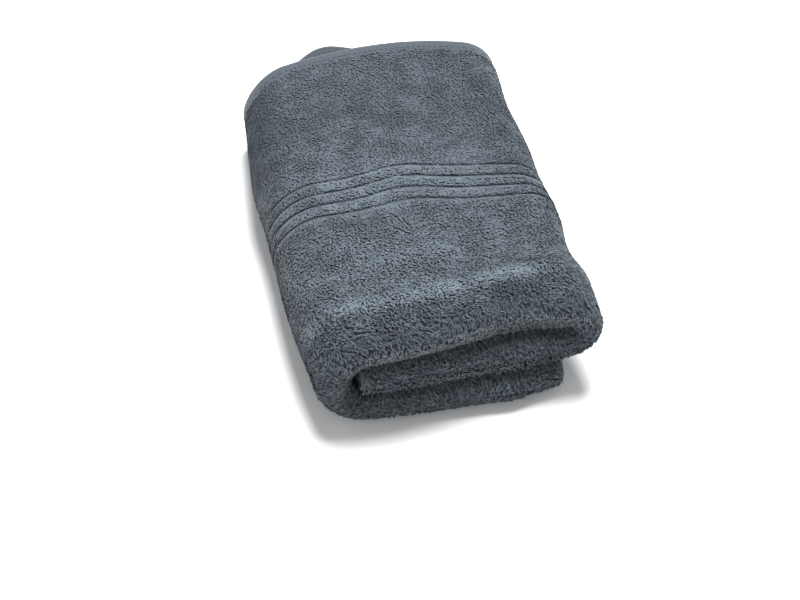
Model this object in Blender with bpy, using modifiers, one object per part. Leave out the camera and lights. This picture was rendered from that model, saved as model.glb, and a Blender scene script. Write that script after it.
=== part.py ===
"""A terry hand towel, folded twice across its length and then wrapped flat in three.

The cloth is cut flat at its real size and then folded by two paths. The long path runs from hem to
hem through four plies. The cross path runs from selvedge to selvedge through three panels, each one
four plies thick. Last, the bundle settles: its ends bow, its crown rises and its front rolls over.
Lengths are in metres. X runs across the bundle, Y from its front to its back and Z up.
"""
import math
from collections import namedtuple

import bpy
import numpy as np

# Folded bundle
FOLDED_LENGTH = 0.275
FOLDED_WIDTH = 0.172
PLY = 0.0040            # one ply with its pile
PLY_PITCH = 0.0048      # from the middle of one ply to the middle of the next
PANEL_GAP = 0.0010
BOTTOM_SETBACK = 0.027  # the bottom panel ends this far inside the right fold
MIDDLE_REACH = 0.0245   # the middle panel ends this far inside the left fold
BACK_SETBACK = 0.004    # the inner plies end this far inside the back hem

# Hem and border band
HEM = 0.010
HEM_PLY = 0.0029
STITCH_LINE = 0.0014
BAND_FROM_HEM = 0.124   # hem to the first groove
RIB_PITCH = 0.0102
RIBS = 3
GROOVE = 0.0028
GROOVE_DEPTH = 0.0012
RIB_RISE = 0.0004

# Unevenness of the folded cloth, in metres
SELVEDGE_WANDER = 0.0013
WANDER_LENGTH = 0.27
FRONT_BOW = 0.010       # the corners lie this far behind the middle of the front
BACK_BOW = 0.018
LEFT_LEAN = 0.005       # the left fold leans out at its foot
TUCK_LENGTH = 0.045
RIDGE_BACK = 0.037      # from the front to the crease across the top
RIDGE_WIDE = 0.014
BAND_PUSH = 0.006       # the band is pushed back near its middle
BAND_PUSH_AT = -0.006
BAND_PUSH_WIDE = 0.022
BAND_REACH = 0.06       # how far in front and behind the cloth follows the band
PEEK = 0.0170           # the inner hem shows this far out from under the outer one, at one place
PEEK_AT = 0.211
PEEK_WIDE = 0.026
STEP_RISE = 0.012       # height over which one panel's front gives way to the next
STEP_REACH = 0.09
STEP_FROM = 0.064       # distance from the middle at which the steps start to fade
STEP_FADE = 0.030

# Unevenness as shares of the width, length or height
BACK_TAPER = 0.045
FRONT_TUCK = 0.05
BAND_SLANT = 0.080
RIDGE_RISE = 0.06
FRONT_DROP = 0.055
SIDE_DROP = 0.05
BACK_DROP = 0.02

# Low swells over the whole bundle: rise as a share of the height, waves in radians for each metre
Swell = namedtuple("Swell", "rise along across start")
SWELLS = [
    Swell(0.010, 31, 14, 1.0),
    Swell(0.006, 52, -38, 2.2),
]

# The panels' fronts lie one behind the other. Above a height each step sets them back by its amount,
# most at its place across the bundle. A height below the floor moves the whole front.
Step = namedtuple("Step", "above amount at wide")
STEPS = [
    Step(-1, -0.0022, 0.025, 0.015),
    Step(0.0134, 0.0022, 0.025, 0.015),
    Step(-1, 0.0018, -0.010, 0.060),
    Step(0.0134, 0.0030, 0, 0.2),
    Step(0.0134, 0.0060, 0.008, 0.045),
    Step(0.0328, 0.0025, 0, 0.2),
    Step(0.0328, 0.0085, 0.038, 0.032),
]

# Where a side is drawn in: its sign, the amount, and the place and width along the bundle
Pull = namedtuple("Pull", "side amount at wide")
PULLS = [
    Pull(1, 0.0040, 0.085, 0.040),
    Pull(1, 0.0014, 0, 0.3),
    Pull(1, 0.0046, 0.012, 0.035),
    Pull(1, 0.0070, -0.069, 0.038),
    Pull(-1, 0.0024, 0.135, 0.022),
    Pull(-1, -0.0030, 0.055, 0.035),
    Pull(-1, -0.0036, -0.065, 0.070),
]

TERRY = (0.105, 0.135, 0.162, 1.0)

HALF_PANEL = 1.5 * PLY_PITCH + PLY / 2
PANEL_PITCH = 2 * HALF_PANEL + PANEL_GAP
STACK_HEIGHT = 2 * HALF_PANEL + 2 * PANEL_PITCH
FRONT_CENTRE = FOLDED_LENGTH - HALF_PANEL
BACK_CENTRE = BACK_SETBACK + PLY_PITCH / 2 + PLY / 2

# A run is a straight of that length, or an arc where the turn isn't zero. A minus turn is clockwise.
Run = namedtuple("Run", "name length turn steps")


def arc(name, radius, turn, steps):
    return Run(name, radius * abs(turn), turn, steps)


def long_path():
    """Hem to hem, as it runs forward from the back hem and outward from the panel's middle."""
    band = RIBS * RIB_PITCH + GROOVE
    after_band = FRONT_CENTRE - BAND_FROM_HEM - band
    return [
        Run("back hem", HEM - STITCH_LINE, 0, 1),
        Run("back hem's stitching", STITCH_LINE, 0, 1),
        Run("outer ply behind the band", BAND_FROM_HEM - HEM, 0, 6),
        Run("band", band, 0, 3 * RIBS + 2),
        Run("outer ply before the band", after_band, 0, 7),
        arc("outer front fold", 1.5 * PLY_PITCH, -math.pi, 8),
        Run("second ply", FRONT_CENTRE - BACK_CENTRE, 0, 8),
        arc("back fold", 0.5 * PLY_PITCH, -math.pi, 4),
        Run("third ply", FRONT_CENTRE - BACK_CENTRE, 0, 7),
        arc("inner front fold", 0.5 * PLY_PITCH, math.pi, 4),
        Run("inner ply", FRONT_CENTRE - BACK_SETBACK - HEM, 0, 7),
        Run("inner hem's stitching", STITCH_LINE, 0, 1),
        Run("inner hem", HEM - STITCH_LINE, 0, 1),
    ]


def cross_path():
    """Selvedge to selvedge, clockwise as seen from the front, from the bottom panel's right end."""
    left_centre = HALF_PANEL + PANEL_PITCH
    right_centre = HALF_PANEL + PANEL_PITCH / 2
    return [
        Run("bottom panel", FOLDED_WIDTH - BOTTOM_SETBACK - left_centre, 0, 7),
        arc("left fold", PANEL_PITCH, -math.pi, 10),
        Run("top panel", FOLDED_WIDTH - left_centre - right_centre, 0, 10),
        arc("right fold", PANEL_PITCH / 2, -math.pi, 8),
        Run("middle panel", FOLDED_WIDTH - right_centre - MIDDLE_REACH, 0, 7),
    ]


def length_of(path):
    return sum(run.length for run in path)


def stations(path):
    """The distances along a path at which its cloth has a line of points."""
    out, begin = [0.0], 0.0
    for run in path:
        if run.name == "band":
            out += [begin + d for d in band_lines()]
        else:
            out += [begin + run.length * (i + 1) / run.steps for i in range(run.steps)]
        begin += run.length
    return np.array(out)


def band_lines():
    """Each groove's edges and bottom, but for the first edge, which the run before ends on."""
    bottoms = GROOVE / 2 + RIB_PITCH * np.arange(RIBS + 1)
    return sorted(np.concatenate([bottoms - GROOVE / 2, bottoms, bottoms + GROOVE / 2]))[1:]


def walk(path, start, heading, s):
    """The place on a path at each distance s, and the unit normal on its left-hand side."""
    place = np.empty((2, len(s)))
    facing = np.empty(len(s))
    at, begin = np.array(start, float), 0.0
    for run in path:
        here = (s >= begin) | (begin == 0)
        along = s[here] - begin
        if run.turn:
            radius = run.length / run.turn
            angle = heading + along / radius
            place[0, here] = at[0] + radius * (np.sin(angle) - math.sin(heading))
            place[1, here] = at[1] + radius * (math.cos(heading) - np.cos(angle))
            facing[here] = angle
            end = heading + run.turn
            at[0] += radius * (math.sin(end) - math.sin(heading))
            at[1] += radius * (math.cos(heading) - math.cos(end))
            heading = end
        else:
            ahead = np.array([math.cos(heading), math.sin(heading)])
            place[:, here] = at[:, None] + ahead[:, None] * along
            facing[here] = heading
            at += run.length * ahead
        begin += run.length
    return place, np.array([-np.sin(facing), np.cos(facing)])


def smooth(x):
    """0 below 0, 1 above 1 and an even S between."""
    x = np.clip(x, 0, 1)
    return x * x * (3 - 2 * x)


def ply_offset(v, h):
    """Half the cloth's thickness on each side of its middle, thin at the hems and raised on the ribs."""
    from_hem = np.minimum(v, length_of(long_path()) - v)
    full = smooth((from_hem - HEM + STITCH_LINE) / STITCH_LINE)
    half = h / PLY * (HEM_PLY + (PLY - HEM_PLY) * full)
    along = (v - BAND_FROM_HEM - GROOVE / 2) / RIB_PITCH
    nearest = np.clip(np.round(along), 0, RIBS)
    out_of_groove = smooth(np.abs(along - nearest) * RIB_PITCH / (GROOVE / 2))
    between = (along > 0) & (along < RIBS)
    return half + (h > 0) * (between * out_of_groove * RIB_RISE - (1 - out_of_groove) * GROOVE_DEPTH)


def hump(x, at, wide):
    """1 at its place, falling off evenly on both sides."""
    return np.exp(-((x - at) / wide) ** 2)


def fold(u, v, h):
    """A place on the flat cloth, u across, v along and h above its middle, carried to the bundle."""
    from_middle = 2 * u / length_of(cross_path()) - 1
    u = u + SELVEDGE_WANDER * np.sin(2 * math.pi * v / WANDER_LENGTH) * from_middle
    h = ply_offset(v, h)
    (forward, out), (lean_y, lean_n) = walk(long_path(), (0, 1.5 * PLY_PITCH), 0, v)
    inner_ply = 1 - (length_of(long_path()) - v) / FRONT_CENTRE
    peek = PEEK * hump(u, PEEK_AT, PEEK_WIDE) * smooth(inner_ply)
    y = FOLDED_LENGTH / 2 - (forward + h * lean_y) + peek
    n = out + h * lean_n
    start = (FOLDED_WIDTH / 2 - BOTTOM_SETBACK, HALF_PANEL)
    (x, z), (lean_x, lean_z) = walk(cross_path(), start, math.pi, u)
    return x + n * lean_x, y, z + n * lean_z


def tilt(side, share):
    """1 at the right edge, less by that share in the middle and by twice it at the left edge."""
    return 1 - share + share * side


def raise_crown(x, y, z):
    """Heights, scaled so that the bottom stays flat and no ply crosses another."""
    side = x / (FOLDED_WIDTH / 2)
    from_front = y + FOLDED_LENGTH / 2
    ridge = hump(from_front, RIDGE_BACK, RIDGE_WIDE)
    lift = RIDGE_RISE * ridge * tilt(side, 0.2)
    lift -= FRONT_DROP * (1 - smooth(from_front / RIDGE_BACK)) * tilt(-side, 0.3)
    lift -= SIDE_DROP * np.abs(side) ** 3 * tilt(-side, 0.2)
    lift -= BACK_DROP * smooth(2 * y / FOLDED_LENGTH)
    for swell in SWELLS:
        lift += swell.rise * np.sin(swell.along * y + swell.across * x + swell.start)
    return np.maximum(z, 0) * (1 + lift)


def draw_in(x, y, z):
    """The width, drawn in at both ends, with the left fold leaning out at its foot."""
    side = x / (FOLDED_WIDTH / 2)
    from_front = y + FOLDED_LENGTH / 2
    taper = BACK_TAPER * smooth(2 * y / FOLDED_LENGTH) * tilt(-side, 0.4)
    tuck = FRONT_TUCK * (1 - smooth(from_front / TUCK_LENGTH)) * tilt(side, 0.3)
    lean = LEFT_LEAN * smooth(-side) * (0.6 - z / STACK_HEIGHT)
    for pull in PULLS:
        lean += pull.side * pull.amount * smooth(pull.side * side) * hump(y, pull.at, pull.wide)
    return x * (1 - taper - tuck) - lean


def bow_ends(x, y, z):
    """The ends' corners set back from their middles, the fronts stepped and the band pushed."""
    side = x / (FOLDED_WIDTH / 2)
    to_front = 1 - smooth(y / FOLDED_LENGTH + 0.5)
    bow = side ** 2 * (FRONT_BOW * to_front - BACK_BOW * (1 - to_front) * tilt(side, 0.15))
    for step in STEPS:
        back = step.amount * hump(x, step.at, step.wide) * smooth((z - step.above) / STEP_RISE)
        back *= 1 - smooth((y + FOLDED_LENGTH / 2) / STEP_REACH)
        bow += back * (1 - smooth((np.abs(x) - STEP_FROM) / STEP_FADE))
    push = BAND_PUSH * hump(x, BAND_PUSH_AT, BAND_PUSH_WIDE) - BAND_SLANT * x
    return y + bow + push * hump(y, 0, BAND_REACH)


def settle(x, y, z):
    """The cloth's weight and the hands that folded it: smooth shifts that never cross plies."""
    return draw_in(x, y, z), bow_ends(x, y, z), raise_crown(x, y, z)


def make_cloth():
    """The flat cloth, a grid with its thickness, folded and settled."""
    u_lines, v_lines = stations(cross_path()), stations(long_path())
    bpy.ops.mesh.primitive_grid_add(
        x_subdivisions=len(u_lines) - 1, y_subdivisions=len(v_lines) - 1, size=2
    )
    cloth = bpy.context.object
    cloth.name = "towel"
    thick = cloth.modifiers.new("thickness", "SOLIDIFY")
    thick.thickness = PLY
    thick.offset = 0
    bpy.ops.object.modifier_apply(modifier=thick.name)
    mesh = cloth.data
    mesh.name = "towel"
    points = np.empty(3 * len(mesh.vertices), np.float32)
    mesh.vertices.foreach_get("co", points)
    points = points.reshape(-1, 3).astype(float)
    from_right = (1 - points[:, 0]) / 2 * (len(u_lines) - 1)
    from_hem = (1 + points[:, 1]) / 2 * (len(v_lines) - 1)
    u = np.interp(from_right, np.arange(len(u_lines)), u_lines)
    v = np.interp(from_hem, np.arange(len(v_lines)), v_lines)
    folded = np.stack(settle(*fold(u, v, points[:, 2])), axis=1)
    folded[:, :2] -= (folded[:, :2].max(axis=0) + folded[:, :2].min(axis=0)) / 2
    mesh.vertices.foreach_set("co", folded.ravel())
    mesh.update()
    mesh.shade_smooth()
    return cloth


def terry():
    material = bpy.data.materials.new("terry")
    material.use_nodes = True
    shader = material.node_tree.nodes["Principled BSDF"]
    shader.inputs["Base Color"].default_value = TERRY
    shader.inputs["Roughness"].default_value = 0.95
    shader.inputs["Metallic"].default_value = 0.0
    return material


def main():
    for old in list(bpy.data.objects):
        bpy.data.objects.remove(old)
    cloth = make_cloth()
    cloth.data.materials.append(terry())
    collection = bpy.data.collections.new("folded towel")
    bpy.context.scene.collection.children.link(collection)
    for home in list(cloth.users_collection):
        home.objects.unlink(cloth)
    collection.objects.link(cloth)


main()
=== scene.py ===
"""Looks of a terry hand towel, folded in quarters and wrapped flat in thirds.

Everything is laid out on the flat cloth first: u runs across it from the selvedge inside the bundle's
bottom, v along it from the back hem, and h is the height above the middle of the cloth. The fold then
carries each point to the bundle. Lengths are in metres, X across, Y from front to back and Z up.
"""
import math
from collections import namedtuple

import bpy
import numpy as np
from bpy.props import FloatProperty, FloatVectorProperty, IntProperty, PointerProperty
from mathutils import Matrix, Vector


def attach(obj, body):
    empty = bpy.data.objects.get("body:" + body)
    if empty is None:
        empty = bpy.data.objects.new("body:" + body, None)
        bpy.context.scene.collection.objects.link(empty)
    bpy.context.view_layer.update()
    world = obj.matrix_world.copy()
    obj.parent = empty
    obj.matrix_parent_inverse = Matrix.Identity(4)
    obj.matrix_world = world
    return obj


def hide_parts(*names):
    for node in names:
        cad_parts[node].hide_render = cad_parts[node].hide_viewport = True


bl_info = {
    "name": "Folded Terry Hand Towel",
    "version": (1, 0, 0),
    "blender": (4, 5, 0),
    "location": "3D View > Sidebar > Towel",
    "description": "Weaves, raises the pile of, hems and stages a folded terry hand towel",
    "category": "Object",
}

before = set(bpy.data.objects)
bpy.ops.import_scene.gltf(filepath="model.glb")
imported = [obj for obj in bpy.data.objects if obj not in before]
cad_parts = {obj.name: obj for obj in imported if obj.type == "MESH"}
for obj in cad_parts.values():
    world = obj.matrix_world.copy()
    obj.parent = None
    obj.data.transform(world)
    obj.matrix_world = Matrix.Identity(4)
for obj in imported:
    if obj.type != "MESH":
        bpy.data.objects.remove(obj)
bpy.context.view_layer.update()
NODE = "towel"
BODY = "root"
MAP = "OFBake"

# Folded bundle, as in the part's source
FOLDED_LENGTH = 0.275
FOLDED_WIDTH = 0.172
PLY = 0.0040
PLY_PITCH = 0.0048
PANEL_GAP = 0.0010
BOTTOM_SETBACK = 0.027
MIDDLE_REACH = 0.0245
BACK_SETBACK = 0.004
OUTER_RADIUS = 1.5 * PLY_PITCH      # of the outer front fold
HALF_PANEL = OUTER_RADIUS + PLY / 2
PANEL_PITCH = 2 * HALF_PANEL + PANEL_GAP
STACK_HEIGHT = 2 * HALF_PANEL + 2 * PANEL_PITCH
FRONT_CENTRE = FOLDED_LENGTH - HALF_PANEL
BACK_CENTRE = BACK_SETBACK + PLY_PITCH / 2 + PLY / 2

# Hem and border band, as in the part's source
HEM = 0.010
STITCH_LINE = 0.0014
BAND_FROM_HEM = 0.124
RIB_PITCH = 0.0102
RIBS = 3
GROOVE = 0.0028
BAND = RIBS * RIB_PITCH + GROOVE

# Unevenness of the folded cloth, as in the part's source
SELVEDGE_WANDER = 0.0013
WANDER_LENGTH = 0.27
FRONT_BOW = 0.010
BACK_BOW = 0.018
LEFT_LEAN = 0.005
LEAN_TURN = 0.6         # share of the height at which that lean is nothing
TUCK_LENGTH = 0.045
RIDGE_BACK = 0.037
RIDGE_WIDE = 0.014
BAND_PUSH = 0.006
BAND_PUSH_AT = -0.006
BAND_PUSH_WIDE = 0.022
BAND_REACH = 0.06
PEEK = 0.0170
PEEK_AT = 0.211
PEEK_WIDE = 0.026
BACK_TAPER = 0.045
FRONT_TUCK = 0.05
BAND_SLANT = 0.080
RIDGE_RISE = 0.06
FRONT_DROP = 0.055
SIDE_DROP = 0.05
BACK_DROP = 0.02
Swell = namedtuple("Swell", "rise along across start")
SWELLS = [Swell(0.010, 31, 14, 1.0), Swell(0.006, 52, -38, 2.2)]
Step = namedtuple("Step", "above amount at wide")
STEPS = [
    Step(-1, -0.0022, 0.025, 0.015), Step(0.0134, 0.0022, 0.025, 0.015), Step(-1, 0.0018, -0.010, 0.060),
    Step(0.0134, 0.0030, 0, 0.2), Step(0.0134, 0.0060, 0.008, 0.045),
    Step(0.0328, 0.0025, 0, 0.2), Step(0.0328, 0.0085, 0.038, 0.032),
]
STEP_RISE = 0.012
STEP_REACH = 0.09
STEP_FROM = 0.064
STEP_FADE = 0.030
Pull = namedtuple("Pull", "side amount at wide")
PULLS = [
    Pull(1, 0.0040, 0.085, 0.040), Pull(1, 0.0014, 0, 0.3), Pull(1, 0.0046, 0.012, 0.035),
    Pull(1, 0.0070, -0.069, 0.038), Pull(-1, 0.0024, 0.135, 0.022), Pull(-1, -0.0030, 0.055, 0.035),
    Pull(-1, -0.0036, -0.065, 0.070),
]

# The cloth under its pile
GROUND_HALF = 0.0013    # half the woven ground's thickness
HEM_HALF = 0.0014
SELVEDGE = 0.002        # flat woven edge along both sides
GROOVE_FLOOR = 0.0008   # height of a groove's bottom above the middle of the cloth
EDGE_ROUND = 0.0007     # how far a cut edge rounds out
FLOOR_SOFT = 0.001      # under this height the cloth is pressed flat

# Steps of the ground's grid
U_STEPS = {"bottom panel": 30, "left fold": 32, "top panel": 46, "right fold": 26, "middle panel": 30}
V_STEPS = {
    "back hem": 5, "hem's stitching": 3, "behind the band": 34, "band": 66, "before the band": 24,
    "outer front fold": 20, "second ply": 22, "back fold": 8, "third ply": 16,
    "inner front fold": 6, "inner ply": 16, "inner hem's stitching": 3, "inner hem": 4,
}
LOOK_CELL = 0.0015      # grid on the flat cloth on which it is worked out what shows

# Smooth drifts: how many waves, how high the sum may come, and how their lengths spread
DRIFT_WAVES = 7
DRIFT_PEAK = 1.4
DRIFT_SPREAD = (0.7, 1.5)

Run = namedtuple("Run", "name length turn")


def arc(name, radius, turn):
    """A run round an arc. A turn to the right is negative."""
    return Run(name, radius * abs(turn), turn)


def long_path():
    """Hem to hem, as it runs forward from the back hem and outward from the panel's middle."""
    return [
        Run("back hem", HEM - STITCH_LINE, 0),
        Run("hem's stitching", STITCH_LINE, 0),
        Run("behind the band", BAND_FROM_HEM - HEM, 0),
        Run("band", BAND, 0),
        Run("before the band", FRONT_CENTRE - BAND_FROM_HEM - BAND, 0),
        arc("outer front fold", OUTER_RADIUS, -math.pi),
        Run("second ply", FRONT_CENTRE - BACK_CENTRE, 0),
        arc("back fold", 0.5 * PLY_PITCH, -math.pi),
        Run("third ply", FRONT_CENTRE - BACK_CENTRE, 0),
        arc("inner front fold", 0.5 * PLY_PITCH, math.pi),
        Run("inner ply", FRONT_CENTRE - BACK_SETBACK - HEM, 0),
        Run("inner hem's stitching", STITCH_LINE, 0),
        Run("inner hem", HEM - STITCH_LINE, 0),
    ]


def cross_path():
    """Selvedge to selvedge, clockwise as seen from the front, from the bottom panel's right end."""
    left_centre = HALF_PANEL + PANEL_PITCH
    right_centre = HALF_PANEL + PANEL_PITCH / 2
    return [
        Run("bottom panel", FOLDED_WIDTH - BOTTOM_SETBACK - left_centre, 0),
        arc("left fold", PANEL_PITCH, -math.pi),
        Run("top panel", FOLDED_WIDTH - left_centre - right_centre, 0),
        arc("right fold", PANEL_PITCH / 2, -math.pi),
        Run("middle panel", FOLDED_WIDTH - right_centre - MIDDLE_REACH, 0),
    ]


def marks(lengths):
    """The distances at which lengths laid end to end begin and end."""
    return np.concatenate([[0], np.cumsum(lengths)])


def ends_of(path):
    """The distances at which each run begins and ends, by its name."""
    at = marks([run.length for run in path])
    return {run.name: ends for run, *ends in zip(path, at, at[1:])}


def stations(path, steps, edge):
    """The distances along a path where the ground has a line of points, two of them near each edge."""
    ends = ends_of(path)
    lines = [np.linspace(*ends[name], count + 1)[1:] for name, count in steps.items()]
    total = max(end for _, end in ends.values())
    return np.unique(np.concatenate([[0, edge, total - edge], *lines]))


CUT_WIDTH = sum(run.length for run in cross_path())
CUT_LENGTH = sum(run.length for run in long_path())


def walk(path, start, heading, s):
    """The place on a path at each distance s, and the unit normal on its left-hand side. A straight
    adds distance times heading. An arc adds radius times the change of (sin, minus cos) of heading."""
    place = np.empty((2, len(s)))
    facing = np.empty(len(s))
    at, begin = np.array(start, float), 0.0
    for run in path:
        here = (s >= begin) | (begin == 0)
        along = s[here] - begin
        if run.turn:
            radius = run.length / run.turn
            angle = heading + along / radius
            place[0, here] = at[0] + radius * (np.sin(angle) - math.sin(heading))
            place[1, here] = at[1] + radius * (math.cos(heading) - np.cos(angle))
            facing[here] = angle
            end = heading + run.turn
            at[0] += radius * (math.sin(end) - math.sin(heading))
            at[1] += radius * (math.cos(heading) - math.cos(end))
            heading = end
        else:
            ahead = np.array([math.cos(heading), math.sin(heading)])
            place[:, here] = at[:, None] + ahead[:, None] * along
            facing[here] = heading
            at += run.length * ahead
        begin += run.length
    return place, np.array([-np.sin(facing), np.cos(facing)])


def smooth(x):
    """0 below 0, 1 above 1 and an even S between."""
    x = np.clip(x, 0, 1)
    return x * x * (3 - 2 * x)


def hump(x, at, wide):
    """1 at its place, falling off on both sides as exp of minus the square of distance over width."""
    return np.exp(-((x - at) / wide) ** 2)


def fold(u, v, h):
    """The long path gives how far forward and how far out of its panel a point lies, and the cross
    path carries that to the bundle's width and height."""
    from_middle = 2 * u / CUT_WIDTH - 1
    u = u + SELVEDGE_WANDER * np.sin(2 * math.pi * v / WANDER_LENGTH) * from_middle
    (forward, out), (lean_y, lean_n) = walk(long_path(), (0, OUTER_RADIUS), 0, v)
    inner_ply = 1 - (CUT_LENGTH - v) / FRONT_CENTRE
    peek = PEEK * hump(u, PEEK_AT, PEEK_WIDE) * smooth(inner_ply)
    y = FOLDED_LENGTH / 2 - (forward + h * lean_y) + peek
    n = out + h * lean_n
    start = (FOLDED_WIDTH / 2 - BOTTOM_SETBACK, HALF_PANEL)
    (x, z), (lean_x, lean_z) = walk(cross_path(), start, math.pi, u)
    return x + n * lean_x, y, z + n * lean_z


def tilt(side, share):
    """1 at the right edge, less by that share in the middle and by twice it at the left edge."""
    return 1 - share + share * side


def raise_crown(x, y, z):
    """Heights scaled by 1 plus a ridge, less drops towards the front, sides and back, plus sine
    swells. Under a small height the cloth is pressed: height becomes that height times exp(z - 1)."""
    side = x / (FOLDED_WIDTH / 2)
    from_front = y + FOLDED_LENGTH / 2
    ridge = hump(from_front, RIDGE_BACK, RIDGE_WIDE)
    lift = RIDGE_RISE * ridge * tilt(side, share=0.2)
    lift -= FRONT_DROP * (1 - smooth(from_front / RIDGE_BACK)) * tilt(-side, share=0.3)
    lift -= SIDE_DROP * np.abs(side) ** 3 * tilt(-side, share=0.2)
    lift -= BACK_DROP * smooth(2 * y / FOLDED_LENGTH)
    for swell in SWELLS:
        lift += swell.rise * np.sin(swell.along * y + swell.across * x + swell.start)
    pressed = FLOOR_SOFT * np.exp(np.minimum(z / FLOOR_SOFT, 1) - 1)
    return np.where(z < FLOOR_SOFT, pressed, z) * (1 + lift)


def draw_in(x, y, z):
    """The width, drawn in at both ends, with the left fold leaning out at its foot."""
    side = x / (FOLDED_WIDTH / 2)
    from_front = y + FOLDED_LENGTH / 2
    taper = BACK_TAPER * smooth(2 * y / FOLDED_LENGTH) * tilt(-side, share=0.4)
    tuck = FRONT_TUCK * (1 - smooth(from_front / TUCK_LENGTH)) * tilt(side, share=0.3)
    lean = LEFT_LEAN * smooth(-side) * (LEAN_TURN - z / STACK_HEIGHT)
    for pull in PULLS:
        lean += pull.side * pull.amount * smooth(pull.side * side) * hump(y, pull.at, pull.wide)
    return x * (1 - taper - tuck) - lean


def bow_ends(x, y, z):
    """The ends' corners set back from their middles, the fronts stepped and the band pushed."""
    side = x / (FOLDED_WIDTH / 2)
    to_front = 1 - smooth(y / FOLDED_LENGTH + 0.5)
    bow = side ** 2 * (FRONT_BOW * to_front - BACK_BOW * (1 - to_front) * tilt(side, share=0.15))
    for step in STEPS:
        back = step.amount * hump(x, step.at, step.wide) * smooth((z - step.above) / STEP_RISE)
        back *= 1 - smooth((y + FOLDED_LENGTH / 2) / STEP_REACH)
        bow += back * (1 - smooth((np.abs(x) - STEP_FROM) / STEP_FADE))
    push = BAND_PUSH * hump(x, BAND_PUSH_AT, BAND_PUSH_WIDE) - BAND_SLANT * x
    return y + bow + push * hump(y, 0, BAND_REACH)


def settle(x, y, z):
    """The folded cloth as it comes to lie: each direction worked out from the unsettled place."""
    return np.stack([draw_in(x, y, z), bow_ends(x, y, z), raise_crown(x, y, z)], axis=-1)


def flat_grid(step):
    """Points over the flat cloth, about one step apart, and how many lie across and along it."""
    u = np.linspace(0, CUT_WIDTH, round(CUT_WIDTH / step))
    v = np.linspace(0, CUT_LENGTH, round(CUT_LENGTH / step))
    return [a.ravel() for a in np.meshgrid(u, v, indexing="ij")], (len(u), len(v))


def middle_of_bundle():
    """The middle of the settled cloth's box, which the part's source moves to the origin."""
    (u, v), _ = flat_grid(2 * LOOK_CELL)
    both = np.concatenate([settle(*fold(u, v, np.full(len(u), h))) for h in (PLY / 2, -PLY / 2)])
    middle = (both.max(axis=0) + both.min(axis=0)) / 2
    return middle * (1, 1, 0)


MIDDLE = middle_of_bundle()


def to_bundle(u, v, h):
    """Flat cloth to bundle, for arrays of any one shape."""
    shape = u.shape
    return (settle(*fold(u.ravel(), v.ravel(), h.ravel())) - MIDDLE).reshape(*shape, 3)


def from_edges(u, v):
    """Distances to the nearer hem's edge and the nearer selvedge."""
    return np.minimum(v, CUT_LENGTH - v), np.minimum(u, CUT_WIDTH - u)


def from_groove(v):
    """Distance to the nearest groove's bottom, and 1 on the ribs between the first and last."""
    along = (v - BAND_FROM_HEM - GROOVE / 2) / RIB_PITCH
    nearest = np.clip(np.round(along), 0, RIBS)
    return np.abs(along - nearest) * RIB_PITCH, (along > 0) & (along < RIBS)


def room_on_rib(v, margin):
    """How far back and how far on a tip may go without crossing the nearest groove on that side."""
    along = (v - BAND_FROM_HEM - GROOVE / 2) / RIB_PITCH
    behind = np.where(along > 0, np.minimum(np.floor(along), RIBS) - along, -np.inf) * RIB_PITCH + margin
    ahead = np.where(along < RIBS, np.maximum(np.ceil(along), 0) - along, np.inf) * RIB_PITCH - margin
    return np.minimum(behind, 0), np.maximum(ahead, 0)


def ground_half(u, v):
    """Half the woven ground's thickness: its own, sunk in the grooves, and a hem's where it is turned."""
    hem, side = from_edges(u, v)
    turned = 1 - smooth((np.minimum(hem - HEM, side - SELVEDGE) + STITCH_LINE) / STITCH_LINE)
    in_groove = 1 - smooth(from_groove(v)[0] / (GROOVE / 2))
    half = GROUND_HALF - (GROUND_HALF - GROOVE_FLOOR) * in_groove
    return half + (HEM_HALF - half) * turned


def drift(points, wave, seed):
    """Smooth noise from -1 to 1: sine waves of about one length in random directions, added up, over
    the square root of their number, cut off at a peak and divided by it."""
    rng = np.random.default_rng(seed)
    total = 0
    for _ in range(DRIFT_WAVES):
        way = rng.normal(size=points.shape[-1])
        way *= 2 * math.pi / (wave * rng.uniform(*DRIFT_SPREAD) * np.linalg.norm(way))
        total = total + np.sin(points @ way + rng.uniform(0, 2 * math.pi))
    return np.clip(total / math.sqrt(DRIFT_WAVES), -DRIFT_PEAK, DRIFT_PEAK) / DRIFT_PEAK


def new_piece(name, points, faces, uv, materials, material_of=None, facing=None):
    """A mesh from whole arrays: faces holds each face's point numbers in a row, and uv a place on the
    map for each corner. Facing, if given, is added to each point's own normal."""
    corners = faces.shape[-1]
    mesh = bpy.data.meshes.new(name)
    mesh.vertices.add(len(points))
    mesh.vertices.foreach_set("co", np.asarray(points, np.float32).ravel())
    mesh.loops.add(faces.size)
    mesh.loops.foreach_set("vertex_index", np.asarray(faces, np.int32).ravel())
    mesh.polygons.add(faces.size // corners)
    mesh.polygons.foreach_set("loop_start", np.arange(0, faces.size, corners, dtype=np.int32))
    layer = mesh.uv_layers.new(name=MAP)
    layer.uv.foreach_set("vector", np.asarray(uv, np.float32).ravel())
    for material in materials:
        mesh.materials.append(material)
    if material_of is not None:
        mesh.polygons.foreach_set("material_index", np.asarray(material_of, np.int32))
    mesh.update(calc_edges=True)
    mesh.validate()
    mesh.shade_smooth()
    if facing is not None:
        own = np.empty(3 * len(points), np.float32)
        mesh.vertices.foreach_get("normal", own)
        normal = own.reshape(-1, 3) + facing
        mesh.normals_split_custom_set_from_vertices(normal / np.linalg.norm(normal, axis=1)[:, None])
    piece = bpy.data.objects.new(name, mesh)
    bpy.context.scene.collection.objects.link(piece)
    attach(piece, BODY)
    return piece


# Materials

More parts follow.
